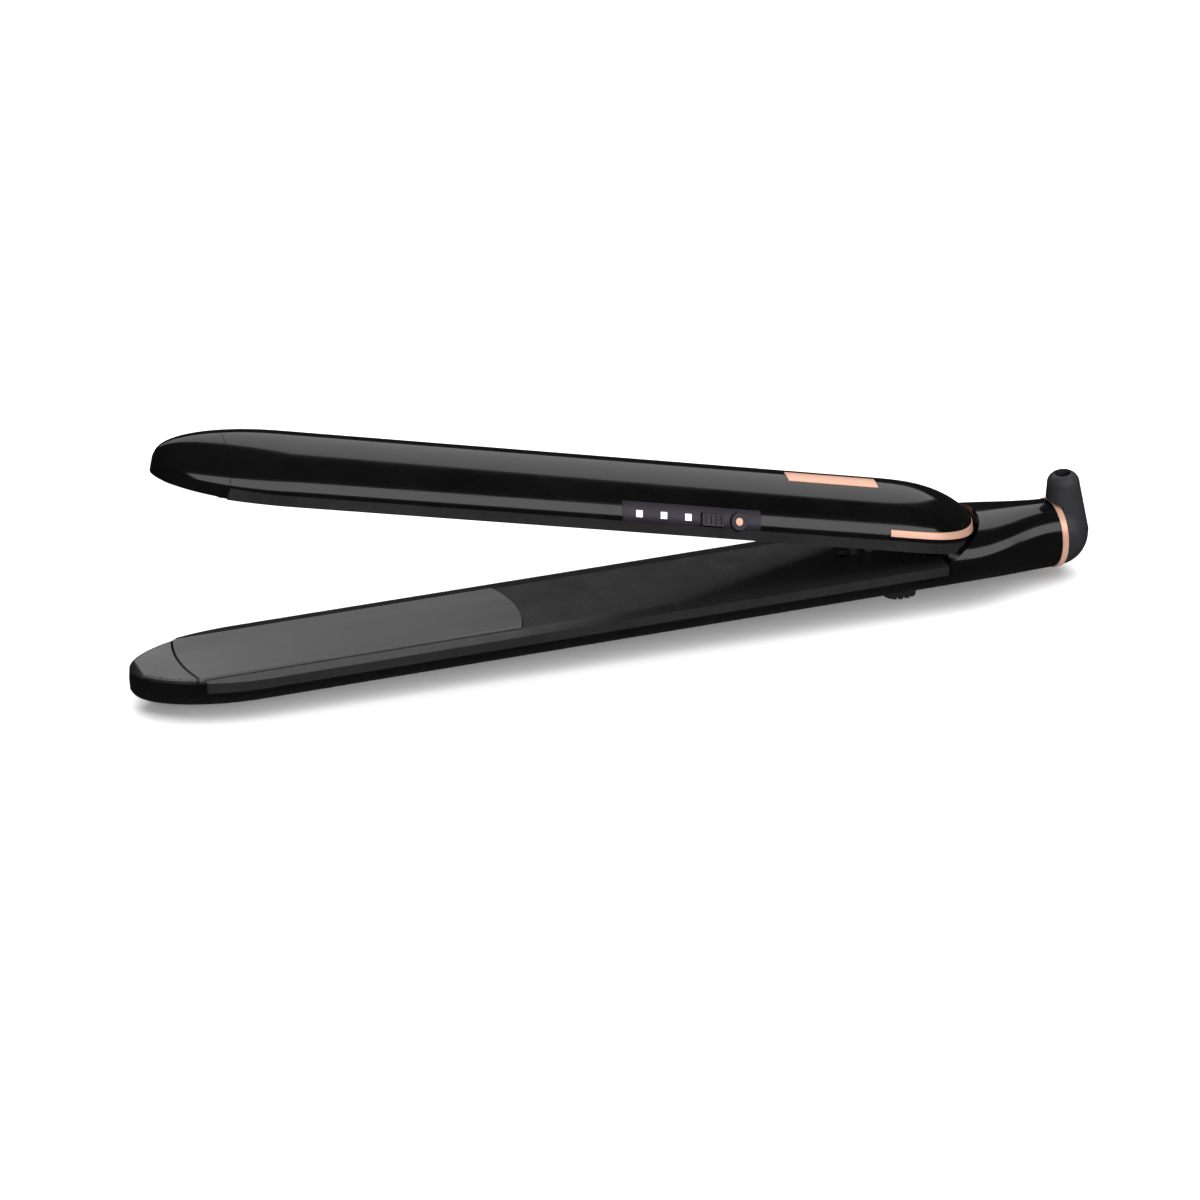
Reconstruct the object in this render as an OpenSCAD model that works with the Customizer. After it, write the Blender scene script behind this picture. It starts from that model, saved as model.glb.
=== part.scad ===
// Slim hair-straightening iron with two hinged arms, floating plates, a plate lock and a cord swivel.
// The frame: X along the lower arm from the tip (-X) to the cord swivel (+X), Z up, Z = 0 under the knob.
// Most modules are drawn in hinge coordinates: the hinge axis is Y at the origin, the plane on which the
// plates meet is Z = 0, and an arm's outer side is +Z. on_lower() and on_upper() put them in place.

/* [Arms] */
// Length from the tips to the hinge axis
arm_l = 244.5; // [242:0.5:247]
// Width of each arm
arm_w = 33.5; // [33:0.1:34]
// Thickness of the lower arm, from its flat underside to the closing plane
lower_t = 13.4; // [13.2:0.1:13.8]
// Thickness of the upper arm, from the closing plane to its crown
upper_t = 15.4; // [15.2:0.1:15.8]
// Wall of the outer shells
wall = 1.8; // [1.6:0.1:1.8]
// Angle between the arms at rest, held open by the spring
open_deg = 13.5; // [12:0.5:14]

/* [Plates] */
// Length of each heating plate
plate_l = 98.5; // [96:0.5:99]
// Width of each heating plate
plate_w = 24.2; // [24:0.1:24.4]
// How far a plate sinks into its arm when hair is pressed
plate_travel = 0.8; // [0.4:0.1:0.8]

/* [Tail and swivel] */
// Radius of the round tail end
tail_r = 10; // [9.8:0.1:10.2]
// Distance of the tail end behind the hinge axis
tail_l = 33.8; // [33:0.1:34.4]
// Radius of the swivel's neck at its top
neck_r = 4.8; // [4.6:0.1:5]
// Radius of the hole for the mains cord
cord_hole_r = 2.4; // [2.2:0.1:2.6]

/* [Controls and lock] */
// Travel of the two push buttons
button_travel = 0.5; // [0.3:0.1:0.6]
// Travel of the lock slider
lock_travel = 3; // [2:0.5:3]
// How far the lock knob stands out under the lower arm
knob_drop = 3.0; // [2.8:0.1:3.4]

/* [Hidden] */
$fn = 48;

half_w = arm_w/2;
closing_z = knob_drop + lower_t;     // height of the closing plane over Z = 0
gap = 0.15;                          // joint gap between fixed neighbours
seg = 16;                            // segments over a skin's section
crown_n = 1.5;                       // superellipse exponent of the arms' section

// tips
tip_round = 36;                      // length of the rounded tip in plan
tip_n = 2;
tip_blunt = 0.25;                    // share of the crown height left at the very tip
cap_l = 17.4;                        // length of the cool tip caps
cap_x = -arm_l + cap_l;
pad_face = 0.4;                      // depth of the tip pads' faces
pad_t = 1.4;
pad_in = 2;                          // the pads stand back from the caps' outline

// plates
plate_gap = 0.1;                     // plate face to closing plane
front_r = 38;                        // arc of the plate's front end
rear_r = 30;                         // arc of the plate's rear end
plate_x0 = -arm_l + 14.1;
plate_x1 = plate_x0 + plate_l;
plate_t = 1.8;
plate_slot = 0.3;                    // gap round a plate in its cover
skirt_t = 1.2;
skirt_z = 3.2;                       // depth that the plate's side skirts reach
tray_z0 = 3.2;
tray_floor = 7.0;
tray_z1 = 8.2;
spring_at = [plate_x0 + 10.5, plate_x1 - 9.5];
tray_screw_at = [plate_x0 + 33, plate_x1 - 31];

// inner covers and shells: depths are measured from the closing plane
rim = 4.2;                           // the outer shells' rims
face_w = 12.8;                       // half the width of a cover's flat face
lower_face = 0.85;
upper_face = 0.5;
edge_drop = 0.45;                    // how much deeper a cover's outer edge lies than its face
sheet_t = 1.4;                       // thickness of the covers
land = 1.0;                          // crown height lost to the flat underside

// rear end of the upper arm
rear_x = 6.8;
rear_round = 22;
rear_fall = 33;
rear_low = 0.7;                      // share of the crown height lost at the very end
rear_n = 3;                          // how late the crown falls
rear_room = 0.7;                     // gap between the rear end and the tail
trim_x = -26.8;                       // front end of the rose-gold trim
trim_z = [rim + 1.1, rim + 2.7];
trim_deep = 1.4;

// tail
tail_drop = 4.7;                     // swivel axis below the closing plane
taper_x = 2.5;
cover_x = -5.5;                      // front of the tail cover
tail_front_z = 6.9;                  // top of the tail above the closing plane, behind the upper arm
cavity_x = [13, tail_l - 2.6];
tail_screw = [11, 7.5];              // X and Y of the cover's two screws
tail_screw_z = 8.2;                  // depth of their heads' seats
ring_l = 1.8;
ring_out = 0.25;                     // how far the ring stands out of the tail
bush_r = 7.0;
bush_l = 6.2;                        // length of the bush in front of the tail's end
stem_r = 5.5;
stem_l = 11.6;                       // length of the swivel's stem in front of the tail's end
slip_ring_x = [tail_l - stem_l + 0.2, tail_l - stem_l + 1.7];

// hinge
pin_r = 2.0;
run = 0.04;                          // radial running clearance
knuckle_r = 3.8;
knuckle_w = 3.6;
ear_y = [7.0, 9.2];
plate_z = [5.0, 6.6];                // the bracket's cross plate, below the axis
bracket_x = [-8.6, 5.8];
bracket_screw_x = [-6, 3];
window_x = [-9.5, 6.2];              // room for the knuckle and the ears

// controls
panel_x = [-110.8, -67.8];
panel_a = [148.5, 178.6];            // the panel's edges, in section degrees
panel_tilt = 32;                     // the panel's outward normal, above the horizontal
panel_y = -16.0;
panel_z = 6.0;
led_x = [-105.8, -98.2, -90.6];
led_s = 1.9;
mode_x = -83.1;
mode_w = 6.6;
mode_h = 3.4;
power_x = -74.9;
power_r = 2.4;
key_gap = 0.25;                      // gap round the keys
mark_r = 1.1;
button_up = 0.75;                    // how far the keys stand out of the panel's middle
button_back = 1.9;                   // depth of the keys' backs
board_d = 3.9;                       // depth of the switch board's face
badge_x = [-56, -27];
badge_a = [87, 109];                 // the badge's edges, in section degrees

// lock and guide post
knob_x = -13.2;
hook_x = -28.6;                      // middle of the prong
hook_top = 3.6;                      // the prong reaches this far past the closing plane
barb_l = 2.6;
post_x = -23.4;
post_r = 1.25;
post_top = 3.4;

// swivel and cord inlet
neck_base_r = 6.8;
neck_lean = 6;
neck_top = 19;
neck_round = 3.6;
socket_l = 12;                       // depth of the cord's socket in the neck
core_r = 1.9;                        // passage for the cord's cores
swivel_x = tail_l + ring_l + 0.3;
elbow_x = swivel_x + 3.5;

// whole length, which sets the origin midway between the tip and the swivel
dome_r = tail_r - 0.2;
end_x = swivel_x + dome_r;
hinge_x = -(end_x + arm_l)/2 + arm_l;

module on_lower() translate([hinge_x, 0, closing_z]) mirror([0, 0, 1]) children();
module on_hinge() translate([hinge_x, 0, closing_z]) children();
module on_upper() translate([hinge_x, 0, closing_z]) rotate([0, open_deg, 0]) children();
module along_y(at = [0, 0, 0]) translate(at) rotate([90, 0, 0]) children();
module along_x(at = [0, 0, 0]) translate(at) rotate([0, 90, 0]) children();
// a box between two corners
module slab(a, b) translate(a) cube(b - a);

// ---- shape functions ----
function ease(t) = let (u = max(0, min(1, t))) u*u*(3 - 2*u);
function mix(a, b, t) = a + (b - a)*t;
function dome(u, n) = pow(1 - pow(max(0, min(1, u)), n), 1/n);
function tip_f(x) = dome(1 - (x + arm_l)/tip_round, tip_n);
function tip_h(x) = mix(tip_blunt, 1, tip_f(x));

function upper_w(x) = max(0.5, half_w*tip_f(x)*dome((x - rear_x + rear_round)/rear_round, 2.2));
function upper_h(x) = (upper_t - rim)*tip_h(x)
                      *(1 - rear_low*pow(max(0, (x - rear_x + rear_fall)/rear_fall), rear_n));

function tail_f(x) = ease((x - taper_x)/(tail_l - taper_x));
function lower_w(x) = max(0.5, mix(half_w, tail_r, tail_f(x))*tip_f(x));
function lower_rim(x) = mix(rim, tail_drop, ease((x - 10)/20));
function lower_h(x) = (mix(lower_t, tail_drop + tail_r, tail_f(x)) - lower_rim(x))*tip_h(x);
function lower_n(x) = mix(crown_n, 2, tail_f(x));
function lower_land(x) = mix(land, 0, tail_f(x));
function tail_top(x) = lower_rim(x) + mix(tail_front_z, tail_r - tail_drop, (x - rear_x)/(tail_l - rear_x));

// one point of a skin's section: a runs from 0 at the +Y rim over the crown to 180 at the -Y rim
function skin(a, w, h, n, flat = 0) =
    [w*sign(cos(a))*pow(abs(cos(a)), 2/n), min(h, (h + flat)*pow(abs(sin(a)), 2/n))];
// a closed ring at x: the skin from +Y to -Y, then back along z = base, drawn in by inset at the rims
function ring(x, w, h, n, rim, base, inset, flat = 0) = concat(
    [for (i = [0:seg]) let (p = skin(180*i/seg, w, h, n, flat)) [x, p[0], rim + p[1]]],
    [for (i = [seg:-1:0]) let (p = skin(180*i/seg, w, h, n, flat)) [x, p[0]*max(0.3, w - inset)/w, base]]);

// a solid through rings of equal length whose first half faces its second half
module loft(rings) {
    m = len(rings);
    n = len(rings[0]);
    function q(i, j) = i*n + j % n;
    sides = [for (i = [0:m - 2], j = [0:n - 1])
             each [[q(i, j), q(i + 1, j), q(i + 1, j + 1)], [q(i, j), q(i + 1, j + 1), q(i, j + 1)]]];
    // each end strip is cut along the diagonal that never lies on the base line
    function strip(a, b, c, d, first) = first ? [[a, b, d], [b, c, d]] : [[a, b, c], [a, c, d]];
    function end_strip(i, j) = strip(q(i, j), q(i, n - 1 - j), q(i, n - 2 - j), q(i, j + 1), j < n/4);
    caps = [for (j = [0:n/2 - 2])
            each concat([for (f = end_strip(0, j)) [f[2], f[1], f[0]]], end_strip(m - 1, j))];
    polyhedron([for (r = rings) each r], concat(sides, caps));
}
// a round wire through points, as a polyhedron
function unit(v) = v/norm(v);
function tangent(p, i) = unit(p[min(i + 1, len(p) - 1)] - p[max(i - 1, 0)]);
module wire(p, r, sides = 6, ref = [0, 0, 1]) {
    m = len(p);
    rings = [for (i = [0:m - 1])
             let (t = tangent(p, i), u = unit(cross(t, ref)), v = cross(t, u))
             [for (j = [0:sides - 1]) p[i] + r*(cos(360*j/sides)*u + sin(360*j/sides)*v)]];
    function q(i, j) = i*sides + j % sides;
    faces = [for (i = [0:m - 2], j = [0:sides - 1])
             each [[q(i, j), q(i + 1, j), q(i + 1, j + 1)], [q(i, j), q(i + 1, j + 1), q(i, j + 1)]]];
    polyhedron([for (r = rings) each r],
               concat(faces, [[for (j = [0:sides - 1]) j]], [[for (j = [sides - 1:-1:0]) q(m - 1, j)]]));
}

// ---- plan outlines ----
module plate_outline(grow = 0) intersection() {
    translate([plate_x0 - grow, -plate_w/2 - grow]) square([plate_l + 2*grow, plate_w + 2*grow]);
    translate([plate_x0 + front_r, 0]) {
        circle(front_r + grow, $fn = 96);
        translate([0, -plate_w]) square([plate_l, 2*plate_w]);
    }
    translate([plate_x1 - rear_r, 0]) {
        circle(rear_r + grow, $fn = 96);
        translate([-plate_l, -plate_w]) square([plate_l, 2*plate_w]);
    }
}
// the arms' plans over some stations, grown by an offset
function both_sides(xs, ws) = concat([for (i = [0:len(xs) - 1]) [xs[i], ws[i]]],
                                     [for (i = [len(xs) - 1:-1:0]) [xs[i], -ws[i]]]);
function upper_plan(xs, grow = 0) = both_sides(xs, [for (x = xs) upper_w(x) + grow]);
function tip_plan(xs, grow = 0) = both_sides(xs, [for (x = xs) max(0.3, half_w*tip_f(x) + grow)]);
// stations over the rounded tip behind the cap, and over the rounded rear end, closer towards its apex
tip_xs = [for (i = [0:5]) mix(cap_x + gap, -arm_l + tip_round, i/5)];
function rear_xs(x0, x1, k = 10) = [for (i = [0:k]) mix(x0, x1, sin(90*i/k))];

// ---- parts that both arms share, drawn with the arm's outer side up ----
module tip_cap(t, edge, flat) {
    xs = [for (i = [0:9]) mix(-arm_l + 0.05, cap_x, pow(i/9, 1.6))];
    difference() {
        loft([for (x = xs)
              ring(x, max(0.5, half_w*tip_f(x)), (t - rim)*tip_h(x), crown_n, rim, edge, 0.4, flat)]);
        translate([0, 0, -1]) linear_extrude(1 + skirt_z + plate_travel + 0.4) plate_outline(plate_slot);
        translate([0, 0, -1]) linear_extrude(1 + pad_face + pad_t) pad_shape(0.05);
        // hollow behind the cap's face
        slab([cap_x - 9, -7, skirt_z + 2.2], [cap_x + 1, 7, t - 4]);
    }
}
module pad_shape(grow = 0) difference() {
    xs = [for (i = [0:8]) mix(-arm_l + pad_in - grow, cap_x - gap, pow(i/8, 1.6))];
    polygon(tip_plan(xs, grow - pad_in));
    plate_outline(plate_slot + 0.3 - grow);
}
module tip_pad() translate([0, 0, pad_face]) linear_extrude(pad_t - 0.05) pad_shape();
// an inner cover: a flat face between sloping margins, and upright sides that stand on the shell's rim
module cover_blank(x0, x1, face) difference() {
    translate([x0, 0, 0]) rotate([90, 0, 90]) linear_extrude(x1 - x0)
        polygon([[-half_w, rim - 0.05], [-half_w, face + edge_drop], [-face_w, face],
                 [face_w, face], [half_w, face + edge_drop], [half_w, rim - 0.05]]);
    slab([x0 + 2, -face_w, face + sheet_t], [x1 - 2, face_w, rim + 1]);
    translate([0, 0, -1]) linear_extrude(rim + 2) plate_outline(plate_slot);
}
module plate() {
    translate([0, 0, plate_gap]) linear_extrude(plate_t) plate_outline();
    for (s = [-1, 1])
        translate([plate_x0 + 3.2, s*(plate_w - skirt_t)/2 - skirt_t/2, plate_gap + plate_t/2])
            cube([plate_l - 7.2, skirt_t, skirt_z - plate_gap - plate_t/2]);
}
module heater() {
    z0 = plate_gap + plate_t;
    slab([spring_at[0] + 6, -5.5, z0], [spring_at[1] - 6, 5.5, z0 + 1.6]);
    slab([spring_at[0] + 10, -3.5, z0 + 1.6], [spring_at[1] - 10, 3.5, z0 + 2.4]);
    for (s = [-1, 1])
        slab([spring_at[1] - 6.5, s*3 - 1, z0 + 0.4], [spring_at[1] - 3.5, s*3 + 1, z0 + 1.0]);
}
module thermistor() {
    x = (tray_screw_at[0] + tray_screw_at[1])/2;
    along_x([x - 2.5, 0, plate_gap + plate_t + 2.4 + 0.8]) cylinder(h = 5, r = 0.8);
}
module tray() difference() {
    union() {
        slab([plate_x0 + 6, -10.4, tray_z0], [plate_x1 - 4, 10.4, tray_z0 + 1.4]);
        slab([plate_x0 + 6, -9, tray_z0], [plate_x1 - 4, 9, tray_z1]);
    }
    slab([plate_x0 + 7.4, -7.6, tray_z0 - 1], [plate_x1 - 5.4, 7.6, tray_floor]);
    for (x = tray_screw_at) translate([x, 0, tray_floor - 1]) cylinder(h = 4, r = 1.3);
    slab([plate_x1 - 7, -4, tray_z0 - 1], [plate_x1 - 1, 4, tray_floor - 1]);   // outlet for the leads
}
module plate_springs() for (x = spring_at) translate([x, 0, plate_gap + plate_t + 0.4]) {
    rise = tray_floor - plate_gap - plate_t - 0.8;
    turns = 3.5;
    steps = turns*12;
    wire([for (i = [0:steps]) [2.3*cos(30*i), 2.3*sin(30*i), rise*i/steps]], 0.35, 5);
}
module tray_screws() for (x = tray_screw_at) translate([x, 0, tray_floor - 1.3]) {
    difference() {
        cylinder(h = 1.3, r = 2.2);
        translate([-1.6, -0.3, -0.1]) cube([3.2, 0.6, 0.7]);
        translate([-0.3, -1.6, -0.1]) cube([0.6, 3.2, 0.7]);
    }
    cylinder(h = 4.5, r = 1.1);
}
module screw_bosses(t) for (x = tray_screw_at) difference() {
    translate([x, 0, tray_z1]) cylinder(h = t - tray_z1 - 1, r = 2.6);
    translate([x, 0, tray_z1 - 1]) cylinder(h = 3.6, r = 1.15);
}

// ---- lower arm ----
function lower_ring(x, shrink, base) =
    ring(x, lower_w(x) - shrink, lower_h(x) - shrink, lower_n(x), lower_rim(x),
         base == undef ? lower_rim(x) : base, 0, lower_land(x));
lower_xs = concat(tip_xs, [taper_x], [for (i = [1:8]) mix(taper_x, tail_l, i/8)]);
module lower_shell() color("black") on_lower() difference() {
    union() {
        difference() {
            loft([for (x = lower_xs) lower_ring(x, 0, undef)]);
            loft([for (x = concat([cap_x - 1], [for (x = lower_xs) if (x > cap_x + 1 && x < cavity_x[1]) x],
                                  [cavity_x[1]])) lower_ring(x, wall, -2)]);
        }
        screw_bosses(lower_t);
        for (x = bracket_screw_x) translate([x, 0, plate_z[1]])
            cylinder(h = lower_t - plate_z[1] - 1, r = 2.4);
        for (s = [-1, 1]) translate([tail_screw[0], s*tail_screw[1], rim + gap])
            cylinder(h = 5.6, r = 3.3);
    }
    // bush seat, lock slot and screw holes
    along_x([cavity_x[1] - 1, 0, tail_drop]) cylinder(h = 6, r = bush_r + 0.02);
    slab([knob_x - 2.2 - lock_travel, -2.3, lower_t - 4], [knob_x + 2.2, 2.3, lower_t + 1]);
    for (x = bracket_screw_x) translate([x, 0, plate_z[1] - 1]) cylinder(h = 4.6, r = 1.05);
    for (s = [-1, 1]) translate([tail_screw[0], s*tail_screw[1], 0]) {
        cylinder(h = 12, r = 1.3);
        translate([0, 0, tail_screw_z]) cylinder(h = 8, r = 2.3);
    }
}
module lower_inner_cover() color("dimgray") on_lower() difference() {
    intersection() {
        cover_blank(cap_x + gap, cover_x - gap, lower_face);
        linear_extrude(rim + 1) polygon(tip_plan(concat(tip_xs, [cover_x])));
    }
    slab([window_x[0], -10.2, -1], [0, 10.2, rim + 1]);
    slab([hook_x - 1.4 - lock_travel, -1.7, -1], [hook_x + 1.5, 1.7, rim]);   // the prong's slot
    translate([post_x, 0, -1]) cylinder(h = rim, r = post_r - 0.4);           // the guide post's pin
}
module lower_tip_cap() color("black") on_lower() tip_cap(lower_t, lower_face + edge_drop, land);
module lower_tip_pad() color("dimgray") on_lower() tip_pad();
module lower_plate_tray() color("dimgray") on_lower() tray();
module lower_plate() color("gray") on_lower() plate();
module lower_heater() color("ivory") on_lower() heater();
module lower_thermistor() color("orange") on_lower() thermistor();
module lower_plate_springs() color("silver") on_lower() plate_springs();
module lower_tray_screws() color("silver") on_lower() tray_screws();
module lower_leads() color("firebrick") on_lower() for (s = [-1, 1])
    wire([[plate_x1 - 2, 3*s, 5], [plate_x1 + 8, 4*s, 7], [plate_x1 + 30, 7*s, 7.4], [-60, 7*s, 7.4],
          [-20, 6.6*s, 8.3], [-4, 6*s, 8.6], [3, 3.9*s, 8.8], [8, 2.9*s, 9.0], [16, 2.6*s, 9.2]], 0.8, 8);
module guide_post() color("black") on_hinge() translate([post_x, 0, 0]) {
    translate([0, 0, -lower_face]) cylinder(h = lower_face + post_top, r = post_r);
    translate([0, 0, -lower_face - sheet_t - 0.5]) cylinder(h = sheet_t + 1, r = post_r - 0.4);
}

// ---- tail ----
function tail_half(x, shrink, base) =
    ring(x, lower_w(x) - shrink, tail_top(x) - shrink, 2, -lower_rim(x),
         base == undef ? -lower_rim(x) : base, 0);
module tail_cover() color("black") on_hinge() difference() {
    loft([for (i = [0:10]) tail_half(mix(cover_x, tail_l, i/10), 0, undef)]);
    loft([for (i = [0:4]) tail_half(mix(cavity_x[0], cavity_x[1], i/4), wall, -8)]);
    // room for the upper arm's rounded end, closed and open
    for (a = [0, open_deg], back = [0, rear_room]) rotate([0, a, 0]) translate([back, 0, -0.7])
        linear_extrude(30) polygon(upper_plan(rear_xs(-40, rear_x - 0.01), 1.0));
    slab([window_x[0], -10.2, -8], [window_x[1], 10.2, 2]);
    along_x([cavity_x[1] - 1, 0, -tail_drop]) cylinder(h = 6, r = bush_r + 0.02);
    for (s = [-1, 1]) translate([tail_screw[0], s*tail_screw[1], -6]) cylinder(h = 6.2, r = 1.15);
}
module tail_ring() color("#d99a80") on_hinge() along_x([tail_l, 0, -tail_drop]) difference() {
    cylinder(h = ring_l, r = tail_r + ring_out, $fn = 96);
    translate([0, 0, -1]) cylinder(h = ring_l + 2, r = bush_r + 0.02);
}
module tail_screws() color("silver") on_lower() for (s = [-1, 1])
    translate([tail_screw[0], s*tail_screw[1], 0]) {
        difference() {
            translate([0, 0, tail_screw_z]) cylinder(h = 1.2, r = 2.0);
            translate([-1.5, -0.3, tail_screw_z + 0.7]) cube([3, 0.6, 1]);
            translate([-0.3, -1.5, tail_screw_z + 0.7]) cube([0.6, 3, 1]);
        }
        cylinder(h = tail_screw_z + 0.1, r = 1.1);
    }

// ---- hinge ----
module hinge_bracket() color("dimgray") on_hinge() difference() {
    union() {
        for (s = [-1, 1]) {
            y0 = s > 0 ? ear_y[0] : -ear_y[1];
            along_y([0, y0 + ear_y[1] - ear_y[0], 0]) cylinder(h = ear_y[1] - ear_y[0], r = knuckle_r);
            slab([-knuckle_r, y0, -plate_z[1]], [knuckle_r, y0 + ear_y[1] - ear_y[0], 0]);
        }
        slab([bracket_x[0], -ear_y[1], -plate_z[1]], [bracket_x[1], ear_y[1], -plate_z[0]]);
    }
    along_y([0, 20, 0]) cylinder(h = 40, r = pin_r + 0.01);
    for (x = bracket_screw_x) translate([x, 0, -9]) cylinder(h = 10, r = 1.25);
}
module bracket_screws() color("silver") on_lower() for (x = bracket_screw_x)
    translate([x, 0, plate_z[0] - 0.7]) {
        cylinder(h = 0.7, r = 1.9);
        cylinder(h = 5, r = 1.0);
    }
module hinge_pin() color("silver") on_hinge() along_y([0, ear_y[1] + 0.4, 0]) {
    cylinder(h = 2*ear_y[1] + 0.4, r = pin_r);
    translate([0, 0, 2*ear_y[1] + 0.4]) cylinder(h = 0.8, r = 2.7);
}
module torsion_spring() color("silver") on_hinge() {
    r = 3.0;
    steps = 30;
    // two and a half turns round the pin, then one leg into each arm
    wire([for (i = [0:steps]) let (a = 270 - 30*i) [r*cos(a), mix(4.4, 6.4, i/steps), r*sin(a)]], 0.4, 6,
         [0, 1, 0]);
    wire([[0, 4.4, -r], [-6, 4.4, -r - 0.6], [-15, 4.4, -r - 1.2]], 0.4, 6, [0, 1, 0]);
    rotate([0, open_deg, 0]) wire([[0, 6.4, r], [-6, 6.4, r + 0.5], [-15, 6.4, r + 1]], 0.4, 6, [0, 1, 0]);
}
module hinge_bush() color("ivory") on_hinge() along_y([0, knuckle_w, 0]) difference() {
    cylinder(h = 2*knuckle_w, r = pin_r + 0.7);
    translate([0, 0, -1]) cylinder(h = 2*knuckle_w + 2, r = pin_r + run);
}

// ---- swivel, about the X axis through the tail's end ----
module on_swivel() on_hinge() translate([0, 0, -tail_drop]) children();
module swivel_bush() color("ivory") on_swivel() along_x([tail_l - bush_l, 0, 0]) difference() {
    cylinder(h = bush_l + ring_l, r = bush_r);
    translate([0, 0, -1]) cylinder(h = bush_l + ring_l + 2, r = stem_r + run);
}
module swivel_elbow() color("#1a1a1a") on_swivel() difference() {
    union() {
        along_x([tail_l - stem_l, 0, 0]) cylinder(h = swivel_x - tail_l + stem_l + 0.1, r = stem_r);
        along_x([swivel_x, 0, 0]) back_dome();
        difference() {
            translate([elbow_x, 0, 0]) rotate([0, -neck_lean, 0]) neck();
            // room for the tail's ring, all round
            along_x() cylinder(h = swivel_x, r = tail_r + 1);
        }
    }
    translate([elbow_x, 0, 0]) rotate([0, -neck_lean, 0]) {
        cylinder(h = neck_top, r = core_r);
        translate([0, 0, neck_top - socket_l]) cylinder(h = socket_l + 1, r = cord_hole_r);
    }
    along_x([10, 0, 0]) cylinder(h = elbow_x - 10, r = core_r);
    translate([elbow_x, 0, 0]) sphere(core_r);
    along_x([tail_l - stem_l + 3.3, 0, 0]) difference() {
        cylinder(h = 1.2, r = stem_r + 1);
        cylinder(h = 1.2, r = stem_r - 0.6);
    }
}
// the round back of the swivel, along +Z from its flat base
module back_dome() rotate_extrude() intersection() {
    circle(dome_r, $fn = 72);
    square([dome_r + 1, dome_r + 1]);
}
module neck() rotate_extrude() {
    polygon([[0, 0], [neck_base_r, 0], [neck_r, neck_top - neck_round], [0, neck_top - neck_round]]);
    translate([0, neck_top - neck_round - 0.1]) square([neck_r - neck_round, neck_round + 0.1]);
    translate([neck_r - neck_round, neck_top - neck_round]) intersection() {
        circle(neck_round);
        square(neck_round + 1);
    }
}
module swivel_circlip() color("silver") on_swivel() along_x([tail_l - stem_l + 3.4, 0, 0]) difference() {
    cylinder(h = 1, r = 7.1);
    translate([0, 0, -1]) cylinder(h = 3, r = stem_r - 0.55);
    translate([0, -2.2, -1]) cube([9, 4.4, 3]);
}

module slip_rings() color("goldenrod") on_swivel() for (x = slip_ring_x) along_x([x, 0, 0]) difference() {
    cylinder(h = 0.9, r = stem_r + 0.5);
    translate([0, 0, -1]) cylinder(h = 3, r = stem_r + 0.01);
}
module contact_brushes() color("goldenrod") on_swivel() for (i = [0, 1]) {
    x = slip_ring_x[i];
    y = [2.2, -2.2][i];
    slab([x, y - 1, -6.8], [x + 0.9, y + 1, -6.3]);
    slab([x, y - 1, -7.1], [x + 0.9, y - 0.3, -6.3]);
}

// ---- lock ----
module lock_knob() color("#151515") on_lower() {
    z0 = lower_t + 0.2;
    difference() {
        translate([knob_x, 0, z0]) linear_extrude(knob_drop - 0.2) {
            square([2, 8], center = true);
            for (s = [-1, 1]) translate([s, 0]) circle(4);
        }
        for (i = [-1:1]) slab([knob_x + 2*i - 0.35, -5, z0 + knob_drop - 0.8],
                              [knob_x + 2*i + 0.35, 5, z0 + 4]);
    }
    slab([knob_x - 1.9, -2, lower_t - wall - 0.1], [knob_x + 1.9, 2, z0 + 0.3]);
}
module lock_hook() color("dimgray") on_lower() {
    z1 = lower_t - wall - 0.1;
    slab([hook_x - 2, -3.2, z1 - 1.4], [knob_x + 3, 3.2, z1]);
    slab([hook_x - 1, -1.2, -hook_top], [hook_x + 1, 1.2, z1 - 0.5]);
    slab([hook_x - barb_l, -1.2, -hook_top], [hook_x, 1.2, 1.4 - hook_top]);
}

// ---- upper arm ----
function upper_ring(x, shrink, base) =
    ring(x, max(0.4, upper_w(x) - shrink), max(0.4, upper_h(x) - shrink), crown_n, rim,
         base == undef ? rim : base, 0);
rear_ring_xs = rear_xs(rear_x - rear_fall, rear_x - 0.1, 9);
upper_xs = concat(tip_xs, rear_ring_xs);
// the rear end's rings, grown by an offset and ended at x1
function rear_rings(out, x1) = [for (x = concat([for (x = rear_ring_xs) if (x < x1 - 0.3) x], [x1]))
    let (s = min(x, rear_x - 0.1))
    ring(x, max(0.4, upper_w(s) + out), max(0.4, upper_h(s) + out), crown_n, rim, 0, 0)];
// a patch of the skin between two section angles and two depths, over a length
module patch(xs, a0, a1, out, deep, k = 8) loft([for (x = xs)
    let (w = upper_w(x), h = upper_h(x), r = rim) concat(
        [for (i = [0:k]) let (p = skin(mix(a0, a1, i/k), w + out, h + out, crown_n)) [x, p[0], r + p[1]]],
        [for (i = [k:-1:0]) let (p = skin(mix(a0, a1, i/k), w - deep, h - deep, crown_n)) [x, p[0], r + p[1]]])]);
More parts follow.
